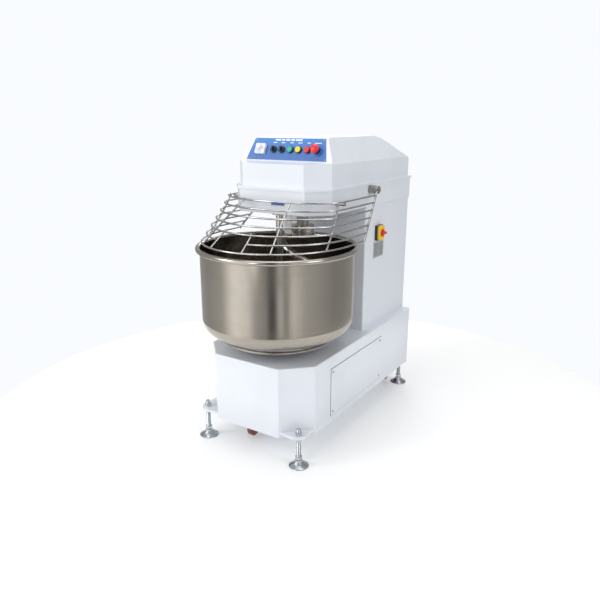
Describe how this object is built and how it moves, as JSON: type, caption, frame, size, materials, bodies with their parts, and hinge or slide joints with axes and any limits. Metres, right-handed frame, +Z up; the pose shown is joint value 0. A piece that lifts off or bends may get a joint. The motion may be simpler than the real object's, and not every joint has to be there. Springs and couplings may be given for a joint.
{
  "type": "spiral dough mixer",
  "caption": "Floor-standing spiral dough mixer with turning bowl, spiral hook, hinged wire guard, sloped control panel, levelling feet and castors.",
  "frame": {"origin": "on the floor, in the middle of the outline", "axes": "+Z up, -Y towards the bowl (front), +X is the side with the isolator"},
  "size_m": [0.738, 1.266, 1.4],
  "materials": {
    "painted_white": "white powder coat",
    "bowl_steel": "spun stainless steel",
    "guard_steel": "polished stainless wire",
    "hook_steel": "cast stainless, polished",
    "plain_steel": "machined steel",
    "zinc": "zinc plated",
    "screw_steel": "zinc plated screws",
    "cast": "painted casting",
    "belt_rubber": "ribbed rubber",
    "castor_red": "red-brown polyurethane",
    "black_steel": "black painted steel",
    "panel_blue": "printed blue film",
    "timer_white": "white moulding",
    "knob_black": "black moulding",
    "green": "green moulding",
    "yellow": "yellow moulding",
    "red": "red moulding",
    "grey_plate": "satin aluminium"
  },
  "bodies": {
    "frame": {"base_shell": "painted_white", "base_floor": "painted_white", "side_panels": "painted_white", "foot_brackets": "painted_white", "column_shell": "painted_white", "rear_cover": "painted_white", "head_housing": "painted_white", "head_cover": "painted_white", "breaker_bar": "hook_steel", "shaft_bearings": "plain_steel", "guard_pivots": "plain_steel", "spindle_seal": "plain_steel", "levelling_feet": "zinc", "foot_nuts": "zinc", "cover_screws": "screw_steel", "hub_housing": "cast", "spindle_housing": "cast", "bowl_motor": "cast", "spiral_motor": "cast", "bowl_belt": "belt_rubber", "spiral_belt": "belt_rubber", "castor_plates": "black_steel", "control_panel": "panel_blue", "timer_body": "timer_white", "button_bezels": "knob_black", "contact_blocks": "knob_black", "isolator_base": "knob_black", "cable_gland": "knob_black", "isolator_cover": "yellow", "rating_plate": "grey_plate", "bar_stay": "grey_plate"},
    "bowl": {"bowl": "bowl_steel", "turntable": "plain_steel", "hub_shaft": "plain_steel", "bowl_pulley": "cast"},
    "bowl_motor_rotor": {"bowl_motor_pulley": "cast"},
    "spiral": {"spiral_hook": "hook_steel", "spindle": "plain_steel", "spiral_pulley": "cast"},
    "spiral_motor_rotor": {"spiral_motor_pulley": "cast"},
    "guard": {"guard_ring": "guard_steel", "guard_hoops": "guard_steel", "guard_top_hoop": "guard_steel", "guard_ribs": "guard_steel", "guard_side_rods": "guard_steel", "guard_hubs": "plain_steel"},
    "start_button": {"start_button": "green"},
    "jog_button": {"jog_button": "yellow"},
    "stop_button": {"stop_button": "red"},
    "estop_button": {"estop_button": "red"},
    "speed_selector": {"speed_selector": "knob_black"},
    "bowl_selector": {"bowl_selector": "knob_black"},
    "timer_knob": {"timer_knob": "timer_white"},
    "isolator_handle": {"isolator_handle": "red"},
    "fork_front": {"castor_fork_front": "black_steel"},
    "fork_rear_left": {"castor_fork_rear_left": "black_steel"},
    "fork_rear_right": {"castor_fork_rear_right": "black_steel"},
    "wheel_front": {"castor_wheel_front": "castor_red"},
    "wheel_rear_left": {"castor_wheel_rear_left": "castor_red"},
    "wheel_rear_right": {"castor_wheel_rear_right": "castor_red"}
  },
  "joints": [
    {"name": "guard_hinge", "type": "hinge", "parent": "frame", "child": "guard", "pos_m": [0, 0.136, 1.158], "axis": [-1, 0, 0], "range_deg": [0, 68]},
    {"name": "bowl_turn", "type": "hinge", "parent": "frame", "child": "bowl", "pos_m": [0, -0.264, 0.5], "axis": [0, 0, 1], "continuous": true},
    {"name": "bowl_motor_turn", "type": "hinge", "parent": "frame", "child": "bowl_motor_rotor", "pos_m": [0, 0.17, 0.3], "axis": [0, 0, 1], "continuous": true},
    {"name": "spiral_turn", "type": "hinge", "parent": "frame", "child": "spiral", "pos_m": [0.02, -0.084, 1], "axis": [0, 0, 1], "continuous": true},
    {"name": "spiral_motor_turn", "type": "hinge", "parent": "frame", "child": "spiral_motor_rotor", "pos_m": [0.02, 0.38, 1.2], "axis": [0, 0, 1], "continuous": true},
    {"name": "start_button_push", "type": "slide", "parent": "frame", "child": "start_button", "axis": [0, 0.9082, -0.4185], "range_m": [0, 0.003], "stiffness_N_per_m": 600, "springref_m": -0.003},
    {"name": "jog_button_push", "type": "slide", "parent": "frame", "child": "jog_button", "axis": [0, 0.9082, -0.4185], "range_m": [0, 0.003], "stiffness_N_per_m": 600, "springref_m": -0.003},
    {"name": "stop_button_push", "type": "slide", "parent": "frame", "child": "stop_button", "axis": [0, 0.9082, -0.4185], "range_m": [0, 0.003], "stiffness_N_per_m": 600, "springref_m": -0.003},
    {"name": "estop_push", "type": "slide", "parent": "frame", "child": "estop_button", "axis": [0, 0.9082, -0.4185], "range_m": [0, 0.003]},
    {"name": "speed_selector_turn", "type": "hinge", "parent": "frame", "child": "speed_selector", "pos_m": [-0.072, -0.18884, 1.34846], "axis": [0, -0.9082, 0.4185], "range_deg": [-45, 45]},
    {"name": "bowl_selector_turn", "type": "hinge", "parent": "frame", "child": "bowl_selector", "pos_m": [-0.028, -0.18884, 1.34846], "axis": [0, -0.9082, 0.4185], "range_deg": [-45, 45]},
    {"name": "timer_knob_turn", "type": "hinge", "parent": "frame", "child": "timer_knob", "pos_m": [-0.14, -0.18884, 1.34846], "axis": [0, -0.9082, 0.4185], "range_deg": [0, 300]},
    {"name": "isolator_turn", "type": "hinge", "parent": "frame", "child": "isolator_handle", "pos_m": [0.275, 0.259, 0.934], "axis": [1, 0, 0], "range_deg": [0, 90]},
    {"name": "castor_swivel_front", "type": "hinge", "parent": "frame", "child": "fork_front", "pos_m": [-0.065, -0.415, 0.11], "axis": [0, 0, 1], "continuous": true},
    {"name": "castor_roll_front", "type": "hinge", "parent": "fork_front", "child": "wheel_front", "pos_m": [-0.065, -0.387, 0.048], "axis": [1, 0, 0], "continuous": true},
    {"name": "castor_swivel_rear_left", "type": "hinge", "parent": "frame", "child": "fork_rear_left", "pos_m": [-0.185, 0.53, 0.11], "axis": [0, 0, 1], "continuous": true},
    {"name": "castor_roll_rear_left", "type": "hinge", "parent": "fork_rear_left", "child": "wheel_rear_left", "pos_m": [-0.185, 0.558, 0.048], "axis": [1, 0, 0], "continuous": true},
    {"name": "castor_swivel_rear_right", "type": "hinge", "parent": "frame", "child": "fork_rear_right", "pos_m": [0.185, 0.53, 0.11], "axis": [0, 0, 1], "continuous": true},
    {"name": "castor_roll_rear_right", "type": "hinge", "parent": "fork_rear_right", "child": "wheel_rear_right", "pos_m": [0.185, 0.558, 0.048], "axis": [1, 0, 0], "continuous": true}
  ],
  "couplings": [
    {"joint": "bowl_motor_turn", "follows": "bowl_turn", "ratio": 4.2857},
    {"joint": "spiral_motor_turn", "follows": "spiral_turn", "ratio": 3.5556}
  ]
}
